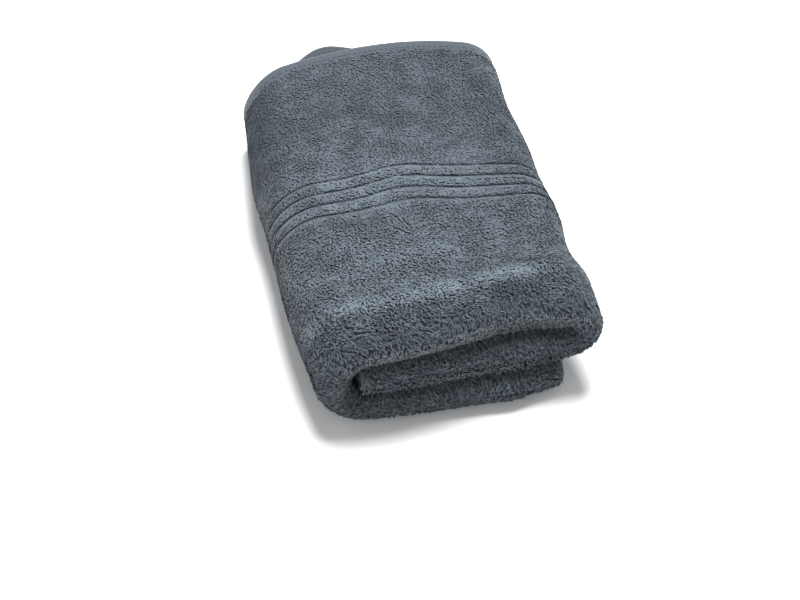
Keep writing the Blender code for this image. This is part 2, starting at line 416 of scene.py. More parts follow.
ROOT_SHADE = 1.4        # power of the height up a yarn, which keeps the painted shade at its foot
SHEEN_ROUGHNESS = 0.45
COTTON_SPECULAR = 0.2
COTTON_SHEEN = 0.12
WEFT_SHARE = 0.6        # how strongly the weft lifts and sinks the warp
FLECK_SCALE = 420
FLECK_DETAIL = 4
LAID_DEPTH = 0.75       # depth up a woven or sewn yarn at the middle of its relief, which sets its painted shade
WEAVE_SHADE = 0.15      # how much the relief adds, in the weave and in the thread's twist: painted shade in hollows
TWIST_SHADE = 0.2
WEAVE_RELIEF = 0.0003
TWIST_RELIEF = 0.0001
TWIST = 26              # radians of twist along a stitch
Weave = namedtuple("Weave", "name root full worn yarns relief")     # colours, then yarns per metre
WEAVES = [
    Weave("woven ground", "root", "ground", "full", 900, 0.5),
    Weave("flat hem", "ground", "hem", "full", 1500, 0.15),
    # The inner hem is the flat hem with the root colour at its dark end: painted shade on the cloth's inner
    # half
    Weave("inner hem", "root", "hem", "full", 1500, 0.15),
]


def new_group(name, inputs, outputs):
    """An empty node group with its sockets, and the two nodes that hold them."""
    group = bpy.data.node_groups.new(name, "ShaderNodeTree")
    for label, kind, value in inputs:
        socket = group.interface.new_socket(label, in_out="INPUT", socket_type=kind)
        socket.default_value = value
    for label, kind in outputs:
        group.interface.new_socket(label, in_out="OUTPUT", socket_type=kind)
    return group, group.nodes.new("NodeGroupInput"), group.nodes.new("NodeGroupOutput")


def group_node(tree, group):
    node = tree.nodes.new("ShaderNodeGroup")
    node.node_tree = group
    return node


def math_node(tree, operation, a, b=0.5):
    """Each of the two values is a number or another node's socket."""
    node = tree.nodes.new("ShaderNodeMath")
    node.operation = operation
    for socket, value in zip(node.inputs, (a, b)):
        if isinstance(value, (int, float)):
            socket.default_value = value
        else:
            tree.links.new(value, socket)
    return node.outputs[0]


def mix_colours(tree, share, a, b):
    node = tree.nodes.new("ShaderNodeMix")
    node.data_type = "RGBA"
    tree.links.new(share, node.inputs["Factor"])
    tree.links.new(a, node.inputs["A"])
    tree.links.new(b, node.inputs["B"])
    return node.outputs["Result"]


def dyed_yarn_painted_shade():
    """Colour of dyed cotton, with painted shade: from the painted dark at its root to the tone of its
    tip, where tone picks between a full and a pale shade, the pale one carrying painted highlight too."""
    name = "dyed yarn"
    if name in bpy.data.node_groups:
        return bpy.data.node_groups[name]
    colour = "NodeSocketColor"
    grey = (0.1, 0.1, 0.1, 1)
    group, given, put = new_group(
        name,
        [("Tone", "NodeSocketFloat", 0.5), ("Depth", "NodeSocketFloat", 0.5),
         ("Root", colour, grey), ("Full", colour, grey), ("Worn", colour, grey)],
        [("Color", colour)],
    )
    tip = mix_colours(group, given.outputs["Tone"], given.outputs["Full"], given.outputs["Worn"])
    depth = math_node(group, "POWER", given.outputs["Depth"], ROOT_SHADE)
    out = mix_colours(group, depth, given.outputs["Root"], tip)
    group.links.new(out, put.inputs["Color"])
    return group


def plain_weave():
    """Relief of a plain weave: the size of warp plus a share of warp times weft, which are sines."""
    name = "plain weave"
    if name in bpy.data.node_groups:
        return bpy.data.node_groups[name]
    group, given, put = new_group(
        name,
        [("Across", "NodeSocketFloat", 0.0), ("Along", "NodeSocketFloat", 0.0)],
        [("Height", "NodeSocketFloat")],
    )
    warp = math_node(group, "SINE", given.outputs["Across"])
    weft = math_node(group, "SINE", given.outputs["Along"])
    both = math_node(group, "MULTIPLY", warp, weft)
    sum_of_both = math_node(group, "ADD", warp, math_node(group, "MULTIPLY", both, WEFT_SHARE))
    group.links.new(math_node(group, "ABSOLUTE", sum_of_both), put.inputs["Height"])
    return group


def new_material(name, roughness, sheen):
    material = bpy.data.materials.new(name)
    material.use_nodes = True
    shader = material.node_tree.nodes["Principled BSDF"]
    shader.inputs["Roughness"].default_value = roughness
    shader.inputs["Sheen Weight"].default_value = sheen
    shader.inputs["Sheen Roughness"].default_value = SHEEN_ROUGHNESS
    shader.inputs["Specular IOR Level"].default_value = COTTON_SPECULAR
    return material, material.node_tree, shader


def uv_of(tree):
    node = tree.nodes.new("ShaderNodeUVMap")
    node.uv_map = MAP
    split = tree.nodes.new("ShaderNodeSeparateXYZ")
    tree.links.new(node.outputs["UV"], split.inputs[0])
    return split.outputs["X"], split.outputs["Y"]


def dye_with_painted_shade(tree, shader, look, colours, depth, tone=None):
    """Base colour of yarn with painted shade at its root, in the look's colours named for root, full and
    pale.
    """
    yarn = group_node(tree, dyed_yarn_painted_shade())
    for socket, name in zip(("Root", "Full", "Worn"), colours):
        yarn.inputs[socket].default_value = (*getattr(look, f"{name}_colour"), 1)
    tree.links.new(depth, yarn.inputs["Depth"])
    if tone is not None:
        tree.links.new(tone, yarn.inputs["Tone"])
    tree.links.new(yarn.outputs["Color"], shader.inputs["Base Color"])


# Depth up a yarn from its relief, which paints shade into the relief's low parts
def laid_depth(tree, relief, amount):
    return math_node(tree, "ADD", math_node(tree, "MULTIPLY", relief, amount), LAID_DEPTH)


def set_relief(tree, shader, height, strength, distance):
    bump = tree.nodes.new("ShaderNodeBump")
    bump.inputs["Strength"].default_value = strength
    bump.inputs["Distance"].default_value = distance
    tree.links.new(height, bump.inputs["Height"])
    tree.links.new(bump.outputs["Normal"], shader.inputs["Normal"])


def pile_material(look):
    """Pile yarn: U holds a tuft's tone, with painted light and shade, and V runs from its painted dark root
    to its tip.
    """
    material, tree, shader = new_material("terry pile", roughness=0.9, sheen=COTTON_SHEEN)
    tone, depth = uv_of(tree)
    dye_with_painted_shade(tree, shader, look, ("root", "full", "worn"), depth, tone)
    return material


def woven_material(look, weave):
    """Woven cloth on its flat map, with two yarns to a wave, flecks of paler yarn, some relief and
    painted shade in its hollows. The cloth's width takes half of the map's and its length nearly the whole."""
    material, tree, shader = new_material(weave.name, roughness=0.85, sheen=COTTON_SHEEN)
    across, along = uv_of(tree)
    turn = math.pi * weave.yarns
    yarns = group_node(tree, plain_weave())
    tree.links.new(math_node(tree, "MULTIPLY", across, 2 * turn * CUT_WIDTH), yarns.inputs["Across"])
    tree.links.new(math_node(tree, "MULTIPLY", along, turn * CUT_LENGTH), yarns.inputs["Along"])
    place = tree.nodes.new("ShaderNodeTexCoord")
    fleck = tree.nodes.new("ShaderNodeTexNoise")
    fleck.inputs["Scale"].default_value = FLECK_SCALE
    fleck.inputs["Detail"].default_value = FLECK_DETAIL
    tree.links.new(place.outputs["Object"], fleck.inputs["Vector"])
    height = yarns.outputs["Height"]
    depth = laid_depth(tree, height, WEAVE_SHADE)
    dye_with_painted_shade(tree, shader, look, (weave.root, weave.full, weave.worn), depth, fleck.outputs["Fac"])
    set_relief(tree, shader, height, weave.relief, WEAVE_RELIEF)
    return material


def thread_material(look):
    """Sewing thread, with its twist as a sine that climbs along it: 2 pi times U plus turns times V."""
    material, tree, shader = new_material("sewing thread", roughness=0.7, sheen=0.1)
    around, along = uv_of(tree)
    round_it = math_node(tree, "MULTIPLY", around, 2 * math.pi)
    climb = math_node(tree, "ADD", round_it, math_node(tree, "MULTIPLY", along, TWIST))
    twist = math_node(tree, "SINE", climb)
    # The twist sets the depth up the yarn: painted shade in the twist's grooves
    dye_with_painted_shade(tree, shader, look, ("root", "thread", "full"), laid_depth(tree, twist, TWIST_SHADE))
    set_relief(tree, shader, twist, strength=0.3, distance=TWIST_RELIEF)
    return material


# Woven ground

MAP_SHARE = (0.48, 0.98)    # of the map, that one face of the cloth takes across and along
MAP_EDGE = 0.01
MAP_UNDER = (0.5, 0)        # from a point's place on the map to that of the point under it


def on_map(u, v):
    across = u / CUT_WIDTH * MAP_SHARE[0] + MAP_EDGE
    along = v / CUT_LENGTH * MAP_SHARE[1] + MAP_EDGE
    return np.stack([across, along], axis=-1)


def weave_ground(look):
    """A closed shell: the flat cloth's grid at plus and minus half its thickness, joined round its
    edges by a line of points that lies a little further out. Each face has its own half of the map."""
    u_lines = stations(cross_path(), U_STEPS, SELVEDGE)
    v_lines = stations(long_path(), V_STEPS, HEM)
    u, v = (a.ravel() for a in np.meshgrid(u_lines, v_lines, indexing="ij"))
    hem, side = from_edges(u, v)
    half = ground_half(u, v)
    under = len(u)
    number = np.arange(under).reshape(len(u_lines), len(v_lines))
    rim = np.concatenate([number[0, :-1], number[:-1, -1], number[-1, :0:-1], number[:0:-1, 0]])
    rim_u = u[rim] + EDGE_ROUND * np.sign(u[rim] - CUT_WIDTH / 2) * (side[rim] == 0)
    rim_v = v[rim] + EDGE_ROUND * np.sign(v[rim] - CUT_LENGTH / 2) * (hem[rim] == 0)
    points = np.concatenate([
        to_bundle(u, v, half), to_bundle(u, v, -half), to_bundle(rim_u, rim_v, np.zeros(len(rim))),
    ])

    quads = np.stack([number[:-1, 1:], number[1:, 1:], number[1:, :-1], number[:-1, :-1]], axis=-1)
    quads = quads.reshape(-1, 4)
    edge = 2 * under + np.arange(len(rim))
    next_rim, next_edge = np.roll(rim, -1), np.roll(edge, -1)
    faces = np.concatenate([
        quads, under + quads[:, ::-1], np.stack([edge, next_edge, next_rim, rim], axis=-1),
        np.stack([under + rim, under + next_rim, next_edge, edge], axis=-1),
    ])
    uv = np.concatenate([on_map(u, v), on_map(u, v) + MAP_UNDER, on_map(rim_u, rim_v)])[faces]
    uv[-len(rim):, 2:] += MAP_UNDER

    bare = (hem < HEM) | (side < SELVEDGE)
    flat_woven = np.tile(bare, 2)[faces[: 2 * len(quads)]].any(axis=1)
    # Bare faces on the cloth's inner half take the inner hem's darker copy of the flat hem: painted shade
    inner = np.concatenate([v, v, rim_v])[faces[:, 0]] > CUT_LENGTH / 2
    material_of = np.concatenate([flat_woven, np.ones(2 * len(rim))]) * (1 + inner)
    materials = [woven_material(look, weave) for weave in WEAVES]
    new_piece("woven_ground", points, faces, uv, materials, material_of)


# Stitching

Bead = namedtuple("Bead", "along wide")
BEADS = [Bead(0.15, 0.8), Bead(0.5, 1), Bead(0.85, 0.8)]    # rings of a stitch between its two ends
THREAD_SIDES = 6
STITCH_RISE = 0.9       # in thread radii, how far a stitch's middle rises from its ends
STITCH_SUNK = 0.5       # in thread radii, how deep its ends lie
THREAD_MAP = (0.96, 0.02)   # share of the map that a stitch takes, and its border


def stitch_points():
    """How far along, how wide and how far round each of a stitch's points lies, from end to end."""
    along, wide = np.repeat(BEADS, THREAD_SIDES, axis=0).T
    turn = np.tile(np.arange(THREAD_SIDES), len(BEADS))
    return np.concatenate([[0], along, [1]]), np.pad(wide, 1), np.pad(turn, 1)


def stitch_faces():
    """Triangles round a stitch's two ends and between its rings, and each corner's place on the map."""
    turn = np.arange(THREAD_SIDES)
    after = (turn + 1) % THREAD_SIDES
    last = 1 + len(BEADS) * THREAD_SIDES
    low = [1 + i * THREAD_SIDES for i in range(len(BEADS) - 1)]
    faces = [np.stack([0 * turn, 1 + turn, 1 + after], axis=-1)]
    faces += [np.stack([i + turn, i + THREAD_SIDES + after, i + after], axis=-1) for i in low]
    faces += [np.stack([i + turn, i + THREAD_SIDES + turn, i + THREAD_SIDES + after], axis=-1) for i in low]
    faces += [np.stack([last + 0 * turn, last - THREAD_SIDES + after, last - THREAD_SIDES + turn], axis=-1)]
    faces = np.concatenate(faces)
    along, _, around = (values[faces] for values in stitch_points())
    past_seam = around.max(axis=1, keepdims=True) - around > THREAD_SIDES / 2
    around = np.where(past_seam, around + THREAD_SIDES, around)
    ends = (faces == 0) | (faces == last)
    around = np.where(ends, np.tile(turn, len(faces) // THREAD_SIDES)[:, None] + 0.5, around)
    share, border = THREAD_MAP
    return faces, np.stack([around / THREAD_SIDES, along], axis=-1) * share + border


def sew_hems(look, seams):
    """A row of stitches on each face of each hem. A stitch is a ring carried along u, closed to a
    point at both ends, whose middle rises over its ends as half a sine."""
    radius = seams.thread / 2
    along, wide, turn = stitch_points()
    angle = turn * 2 * math.pi / THREAD_SIDES
    start = np.arange(seams.gap, CUT_WIDTH - seams.stitch - seams.gap, seams.stitch + seams.gap)
    u = start[:, None] + seams.stitch * along
    rise = STITCH_RISE * np.sin(math.pi * along) - STITCH_SUNK + wide * np.sin(angle)
    corner, at = stitch_faces()
    first = np.arange(len(start))[:, None, None] * len(along)
    points, faces, uv = [], [], []
    for hem in (seams.from_edge, CUT_LENGTH - seams.from_edge):
        for side in (1, -1):
            v = np.broadcast_to(hem + radius * wide * np.cos(angle), u.shape)
            h = side * (ground_half(u, v) + radius * rise)
            faces.append(len(points) * u.size + first + corner[:, ::side])
            points.append(to_bundle(u, v, h).reshape(-1, 3))
            uv.append(np.broadcast_to(at[:, ::side], (len(start), *at.shape)))
    points, faces, uv = (np.concatenate(arrays) for arrays in (points, faces, uv))
    new_piece("hem_stitches", points, faces, uv, [thread_material(look)])


# Pile

SIGHT_CELL = 0.003      # width of a column across a look
SIGHT_REACH = 0.0025    # how far behind its column's furthest point a point still shows
LOOKS = [
    (0, 0, 1), (1, 0, 0), (-1, 0, 0), (0, 1, 0), (0, -1, 0), (1, 0, 1), (-1, 0, 1), (0, 1, 1),
    (0, -1, 1), (1, 1, 0), (-1, 1, 0), (1, -1, 0), (-1, -1, 0), (0.3, -1, 0.3), (-0.3, -1, 0.3),
    (0.3, 1, 0.3), (-0.3, 1, 0.3), (1, 0, 0.3), (-1, 0, 0.3), (0, 0, -1),
]
OFF_LOOKS = (0.31, 0.22, 0.93)      # a direction along which no look runs

# Pile is raised patch by patch: the side of the cloth, how far out of its panel, and the stretch of v
Patch = namedtuple("Patch", "side out begin end")
FOLD_SLICES = 6
TIGHTEST = 0.35         # least share of its length to which a squeezed line is taken to shrink

# The nap along the cloth: distance from the back hem, how light it is and how flat it lies. Its tone is
# painted light and shade: stretches lighter or darker to stand in for how the light catches the pile, a
# painted highlight along the ridge, and painted shade where each front fold turns into the gap between
# panels. A flatness below 0 is rougher than the pile's own. The lower panels' fronts have a nap of their
# own.
Nap = namedtuple("Nap", "at tone flat")
TOP_NAP = [
    Nap(0, 0.06, 0.95), Nap(0.07, 0.02, 0.95), Nap(0.115, 0.20, 0.95), Nap(0.127, 0.34, 1),
    Nap(0.155, 0.34, 1), Nap(0.165, 0.17, 0.75), Nap(0.20, 0.40, 0.6), Nap(0.231, 0.50, 0.5),
    Nap(0.2375, 0.62, 0.75), Nap(0.2415, 0.66, 0.7), Nap(0.247, 0.72, 0.1), Nap(0.262, 0.76, -0.35),
    Nap(0.274, 0.60, -0.45), Nap(0.281, 0.12, 0), Nap(0.290, 0.04, 0), Nap(0.31, 0.30, 0),
]
UNDER_NAP = [
    Nap(0, 0.05, 0.6), Nap(0.13, 0.18, 0.4), Nap(0.21, 0.50, 0.1), Nap(0.25, 0.92, -0.3),
    Nap(0.262, 0.96, -0.7), Nap(0.272, 0.90, -1), Nap(0.284, 0.80, -1), Nap(0.292, 0.50, -0.8),
    Nap(0.31, 0.30, 0),
]
NAP_REACH = (0.004, 0.030)      # how far onto the top panel the lower panels' nap comes, left and right

# Where the pile ends, and how it drifts over the cloth: length of the waves and seed of their draws
OVER_HEM = (0.001, 0.0032)      # least and most that the pile comes over the back hem's edge
OFF_INNER_HEM = 0.002
RUFFLE = (0.026, 14)
LEAN_DRIFTS = [(0.045, 11), (0.014, 12)]
REACH_DRIFT = (0.02, 13)
TONE_DRIFT = (0.009, 15)

# How strongly those drifts, a tuft's lock and its own draw change each thing
LEAN_SWAY = 0.55
LEAN_OWN = 0.3
REACH_SWAY = 0.25
REACH_OWN = 0.2
RUFFLE_FLAT = 0.1
RUFFLE_TONE = 0.06
TONE_SWAY = 0.06
TONE_OWN = 0.12
LOCK_TONE = 0.1
LOCK_HEIGHT = 0.14
HEIGHT_OWN = 0.13
WIDTH_OWN = 0.2
LOCK_STRAY = 0.4        # how far a lock's middle lies off its cell's, in cells
TONE_RANGE = (0.03, 0.97)

# How much longer a rough tuft is, and how much of each thing a flat one loses or, in width, gains
ROUGH_REACH = 0.35
ROUGHEST = 1.3
CLUMP_MOST = 0.9
FLAT_CLUMP = 0.9
FLAT_UNEVEN = 0.7
FLAT_HEIGHT = 0.45
FLAT_TONE = 0.6
FLAT_WIDTH = 0.6
RIB_HEIGHT = 0.15       # how much higher the pile stands on the band's ribs
SHOULDER = 0.4          # share of the pile's height at a groove's edge
SHOULDER_WIDE = 0.0028

# A tuft's spindle: how far along its reach, how high and how wide each of its rings is
Ring = namedtuple("Ring", "along up wide")
RINGS = [Ring(0, 0, 0), Ring(0.42, 0.72, 1), Ring(1, 1, 0)]
RING_TURN = 0.5         # how far its three points are turned from lying level
RING_ANGLES = [RING_TURN + i * 2 * math.pi / 3 for i in range(3)]
RING_LOW = 0.7          # height of a ring over its width

# Painted shade of each of a tuft's five points, as a depth up its yarn from the dark root, as it stands,
# lies flat or is rough
DEPTHS = np.array([0.03, 0.42, 0.42, 0.42, 0.98])
FLAT_DEPTHS = np.array([0.7, 0.85, 0.85, 0.85, 0.95])
ROUGH_DEPTHS = np.array([0.02, 0.2, 0.2, 0.2, 1])
TONE_SPREAD = np.array([0, -1, 0, 1, 0]) * 0.006
Tufts = namedtuple("Tufts", "points tone flat outward u v side")


def seen(points):
    """A point shows along a look if none in its column across that look lies much further out."""
    shown = np.zeros(len(points), bool)
    for look in np.array(LOOKS, float):
        look /= np.linalg.norm(look)
        side = np.cross(look, OFF_LOOKS)
        side /= np.linalg.norm(side)
        column = np.round(points @ np.stack([side, np.cross(look, side)], axis=1) / SIGHT_CELL).astype(int)
        column -= column.min(axis=0)
        key = column[:, 0] * (column[:, 1].max() + 1) + column[:, 1]
        out = points @ look
        furthest = np.full(key.max() + 1, -np.inf)
        np.maximum.at(furthest, key, out)
        shown |= out > furthest[key] - SIGHT_REACH
    return shown


def what_shows():
    """For each side of the cloth, a grid over the flat cloth that is true where it shows, grown by
    one cell."""
    (u, v), shape = flat_grid(LOOK_CELL)
    points = np.concatenate([to_bundle(u, v, np.full(len(u), side * PLY / 2)) for side in (1, -1)])
    shown = seen(points).reshape(2, *shape)
    grown = np.pad(shown, ((0, 0), (1, 1), (1, 1)))
    return grown[:, :-2, 1:-1] | grown[:, 2:, 1:-1] | grown[:, 1:-1, :-2] | grown[:, 1:-1, 2:] | shown


def true_lengths(path, offset):
    """Distances along a path's middle, and the lengths there of a line that runs offset beside it.
    On an arc the length grows by 1 minus offset over radius, on the left-hand side."""
    grow = [max(1 - offset * run.turn / run.length, TIGHTEST) for run in path]
    return marks([run.length for run in path]), marks([g * run.length for g, run in zip(grow, path)])


def patches():
    """The outer ply, the front fold in slices that each have their own reach out of the panel, the
    plies behind it and, last, the cloth's other side."""
    ends = ends_of(long_path())
    lines = np.linspace(*ends["outer front fold"], FOLD_SLICES + 1)
    middles = math.pi * (np.arange(FOLD_SLICES) + 0.5) / FOLD_SLICES
    slices = [
        Patch(1, HALF_PANEL * math.cos(angle), a, b) for angle, a, b in zip(middles, lines, lines[1:])
    ]
    back = ends["back fold"][1]
    return [
        Patch(1, HALF_PANEL, 0, lines[0]), *slices, Patch(1, -HALF_PANEL, lines[-1], back),
        Patch(1, 0, back, CUT_LENGTH), Patch(-1, 0, 0, CUT_LENGTH),
    ]


def nap_at(u, v):
    """Tone and flatness of the nap: the top's, going over to the lower panels' across the side folds."""
    cross = ends_of(cross_path())
    (low, left), (right, high) = cross["left fold"], cross["right fold"]
    under = np.interp(u, [low, left + NAP_REACH[0], right - NAP_REACH[1], high], [1, 0, 0, 1])
    top, beneath = (
        [np.interp(v, at, values) for values in (tone, flat)]
        for at, tone, flat in (np.transpose(TOP_NAP), np.transpose(UNDER_NAP))
    )
    return [a + (b - a) * under for a, b in zip(top, beneath)]


def lay_tufts(patch, pile, shows, rng):
    """Root, tip, height, tone and flatness of each tuft, on the flat cloth at its true lengths, and
    the tables that lead from those back to u and v. Roots are a jittered grid. A tuft leans the way of
    a smooth field, and its tip is drawn to the middle of its own small cell, so that tufts clump."""
    u_flat, u_true = true_lengths(cross_path(), patch.out)
    v_flat, v_true = true_lengths(long_path(), patch.side * PLY / 2)
    low, high = np.interp((patch.begin, patch.end), v_flat, v_true)
    across = np.arange(0, u_true[-1], pile.spacing)
    along = np.arange(low, high, pile.spacing)
    a, b = (g.ravel() for g in np.meshgrid(across, along, indexing="ij"))
    a = a + rng.uniform(0, pile.spacing, len(a))
    b = b + rng.uniform(0, pile.spacing, len(b))
    u, v = np.interp(a, u_true, u_flat), np.interp(b, v_true, v_flat)
    hem, side = from_edges(u, v)
    groove, on_rib = from_groove(v)
    grid = shows[0 if patch.side > 0 else 1]
    row = np.round(u / CUT_WIDTH * (grid.shape[0] - 1)).astype(int)
    column = np.round(v / CUT_LENGTH * (grid.shape[1] - 1)).astype(int)
    border = HEM + np.where(v < CUT_LENGTH / 2, -rng.uniform(*OVER_HEM, len(a)), OFF_INNER_HEM)
    keep = grid[row, column] & (hem > border) & (side > pile.spacing / 3) & (groove > pile.groove_bare / 2)
    a, b, u, v, groove, on_rib = (values[keep] for values in (a, b, u, v, groove, on_rib))
    place = np.stack([a, b], axis=-1)
    count = len(place)

    # brushed holds the nap's tone, which is painted light and shade along the cloth
    brushed, flat = nap_at(u, v)
    ruffle = drift(place, *RUFFLE)
    flat = flat + RUFFLE_FLAT * ruffle
    lean = pile.lean_way
    for waves in LEAN_DRIFTS:
        lean = lean + LEAN_SWAY * drift(place, *waves)
    lean = lean + LEAN_OWN * rng.normal(size=count)
    longer = 1 + REACH_SWAY * drift(place, *REACH_DRIFT) + REACH_OWN * rng.normal(size=count)
    reach = pile.reach * (longer + ROUGH_REACH * np.minimum(1 - flat, ROUGHEST))
    way = np.stack([np.cos(lean), np.sin(lean)], axis=-1) * reach[:, None]
    cell = np.floor(place / pile.lock).astype(int)
    cells = cell.max(axis=0) + 1
    stray = rng.uniform(-LOCK_STRAY, LOCK_STRAY, (*cells, 2))
    middle = (cell + 0.5 + stray[cell[:, 0], cell[:, 1]]) * pile.lock
    clump = np.clip(pile.clump * (1 - FLAT_CLUMP * flat), 0, CLUMP_MOST)
    tip = place + way + (middle - place) * clump[:, None]
    behind, ahead = room_on_rib(v, pile.groove_bare / 2 * rng.uniform(0, 2, count))
    tip[:, 1] = b + np.clip(tip[:, 1] - b, behind, ahead)

    lock = rng.uniform(-1, 1, cells)[cell[:, 0], cell[:, 1]]
    shoulder = SHOULDER + (1 - SHOULDER) * smooth((groove - pile.groove_bare / 2) / SHOULDER_WIDE)
    uneven = (1 - FLAT_UNEVEN * flat) * (HEIGHT_OWN * rng.normal(size=count) + LOCK_HEIGHT * lock)
    height = pile.height * shoulder * (1 - FLAT_HEIGHT * flat + uneven + RIB_HEIGHT * on_rib)
    tone = brushed + RUFFLE_TONE * ruffle + TONE_SWAY * drift(place, *TONE_DRIFT)
    tone += (1 - FLAT_TONE * flat) * (LOCK_TONE * lock + TONE_OWN * rng.normal(size=count))
    return place, tip, height, np.clip(tone, *TONE_RANGE), flat, (u_true, u_flat), (v_true, v_flat)


def raise_patch(patch, pile, shows, rng):
    """Each tuft is a ring carried from its root to its tip, closed to a point at both. A ring's
    points stand 120 degrees apart round the tuft's way, flattened in height."""
    place, tip, height, tone, flat, u_table, v_table = lay_tufts(patch, pile, shows, rng)
    way = tip - place
    way /= np.linalg.norm(way, axis=1)[:, None]
    across = np.stack([-way[:, 1], way[:, 0]], axis=-1)
    width = pile.width * (1 + WIDTH_OWN * rng.normal(size=len(place)) + FLAT_WIDTH * np.clip(flat, 0, 1))
    spots, lifts = [], []
    for ring in RINGS:
        radius = width * ring.wide / 2
        for angle in RING_ANGLES if ring.wide else RING_ANGLES[:1]:
            centre = place + (tip - place) * ring.along
            spots.append(centre + across * (radius * math.cos(angle))[:, None])
            lifts.append(height * ring.up + radius * RING_LOW * math.sin(angle))
    spots = np.stack(spots, axis=1)
    u = np.interp(spots[..., 0], *u_table)
    v = np.interp(spots[..., 1], *v_table)
    base = ground_half(u[:, :1], v[:, :1]) - pile.sunk
    points = to_bundle(u, v, patch.side * (base + np.stack(lifts, axis=1)))
    u, v = u[:, 0], v[:, 0]
    outward = to_bundle(u, v, np.full(len(u), patch.side * PLY)) - to_bundle(u, v, np.zeros(len(u)))
    outward /= np.linalg.norm(outward, axis=1)[:, None]
    return Tufts(points, tone, flat, outward, u, v, patch.side)


def spindle_faces(side):
    """The three faces round the root and the three round the tip, turned outwards."""
    ring = [(1, 2), (2, 3), (3, 1)]
    faces = np.array([(0, b, a) for a, b in ring] + [(4, a, b) for a, b in ring])
    return faces[:, ::-1] if side > 0 else faces


def within(place, ends):
    return (place > ends[0]) & (place < ends[1])


def pile_pieces(u, v):
    """Which tufts each piece of pile holds, by the runs of both paths in which they are rooted."""
    cross, along = ends_of(cross_path()), ends_of(long_path())
    outer = v < along["outer front fold"][0]
    behind = v < along["band"][1]
    top, left, right = (outer & within(u, cross[run]) for run in ("top panel", "left fold", "right fold"))
    masks = {
        "pile_top_behind_band": top & behind,
        "pile_top_before_band": top & ~behind,
        "pile_left_fold": left,
        "pile_right_fold": right,
        "pile_front_folds": within(v, along["outer front fold"]),
    }
    rest = ~np.any(list(masks.values()), axis=0)
    lower = u < np.mean(cross["left fold"])
    masks["pile_lower_plies"] = rest & lower
    masks["pile_upper_plies"] = rest & ~lower
    return masks


def gather_tufts(name, chosen, soft, material):
    """One piece from the tufts chosen of each patch. A tuft that lies flat is shaded like the cloth."""
    points, faces, uv, facing = [], [], [], []
    start = 0
    for tufts, mask in chosen:
        spots = tufts.points[mask]
        flat = tufts.flat[mask][:, None]
        lies, rough = np.clip(flat, 0, 1), np.clip(-flat, 0, 1)
        corner = spindle_faces(tufts.side)
        points.append(spots.reshape(-1, 3))
        faces.append(start + np.arange(len(spots))[:, None, None] * spots.shape[1] + corner)
        facing.append(np.repeat(tufts.outward[mask] * (soft * lies), spots.shape[1], axis=0))
        # Painted shade up each tuft from its dark root: less where it lies flat, more where it is rough
        depth = DEPTHS + (FLAT_DEPTHS - DEPTHS) * lies
        depth += (ROUGH_DEPTHS - DEPTHS) * rough
        tone = tufts.tone[mask][:, None] + TONE_SPREAD
        uv.append(np.stack([tone, depth], axis=-1)[:, corner])
        start += spots.shape[0] * spots.shape[1]
    points, faces, uv, facing = (np.concatenate(arrays) for arrays in (points, faces, uv, facing))
    return new_piece(name, points, faces, uv, [material], facing=facing)


def raise_pile(look, pile):
    rng = np.random.default_rng(pile.seed)
    shows = what_shows()
    sets = [raise_patch(patch, pile, shows, rng) for patch in patches()]
    masks = [pile_pieces(tufts.u, tufts.v) for tufts in sets]
    material = pile_material(look)
    return [
        gather_tufts(name, [(tufts, mask[name]) for tufts, mask in zip(sets, masks)], pile.soft, material)
        for name in masks[0]
    ]


# Settings

COLOUR = {"subtype": "COLOR", "size": 3, "min": 0, "max": 1}
LENGTH = {"unit": "LENGTH", "precision": 5}


class TowelLook(bpy.types.PropertyGroup):
    """Colours of the towel's yarns"""
    # root_colour is painted shade: the dark of yarn deep in the pile, between the tufts
    root_colour: FloatVectorProperty(
        name="Root colour", description="Yarn deep in the pile", default=(0.014, 0.018, 0.023), **COLOUR)
    ground_colour: FloatVectorProperty(
        name="Ground colour", description="Woven ground under the pile",
        default=(0.062, 0.077, 0.093), **COLOUR)
    full_colour: FloatVectorProperty(
        name="Full colour", description="Pile at its darkest", default=(0.049, 0.061, 0.074), **COLOUR)
    # The pale end of a tuft's tone: paler yarn at random, and painted highlight and painted light along the
    # nap
    worn_colour: FloatVectorProperty(
        name="Worn colour", description="Pile where it is brushed light",
        default=(0.222, 0.270, 0.312), **COLOUR)
    hem_colour: FloatVectorProperty(
        name="Hem colour", description="Flat woven hems and selvedges",
        default=(0.032, 0.040, 0.048), **COLOUR)
    thread_colour: FloatVectorProperty(
        name="Thread colour", description="Sewing thread of the hems",
        default=(0.060, 0.074, 0.088), **COLOUR)


class TowelSeams(bpy.types.PropertyGroup):
    """Sizes of the hems' stitching"""
    stitch: FloatProperty(
        name="Stitch", description="Length of a hem stitch", min=0.001, max=0.01, default=0.0028, **LENGTH)
    gap: FloatProperty(
        name="Gap", description="Between one stitch and the next",
        min=0.0002, max=0.01, default=0.0008, **LENGTH)
    thread: FloatProperty(
        name="Thread", description="Thickness of the sewing thread",
        min=0.0002, max=0.001, default=0.0006, **LENGTH)
    from_edge: FloatProperty(
        name="From edge", description="From a hem's edge to its row of stitches",
        min=0.001, max=HEM, default=0.0058, **LENGTH)


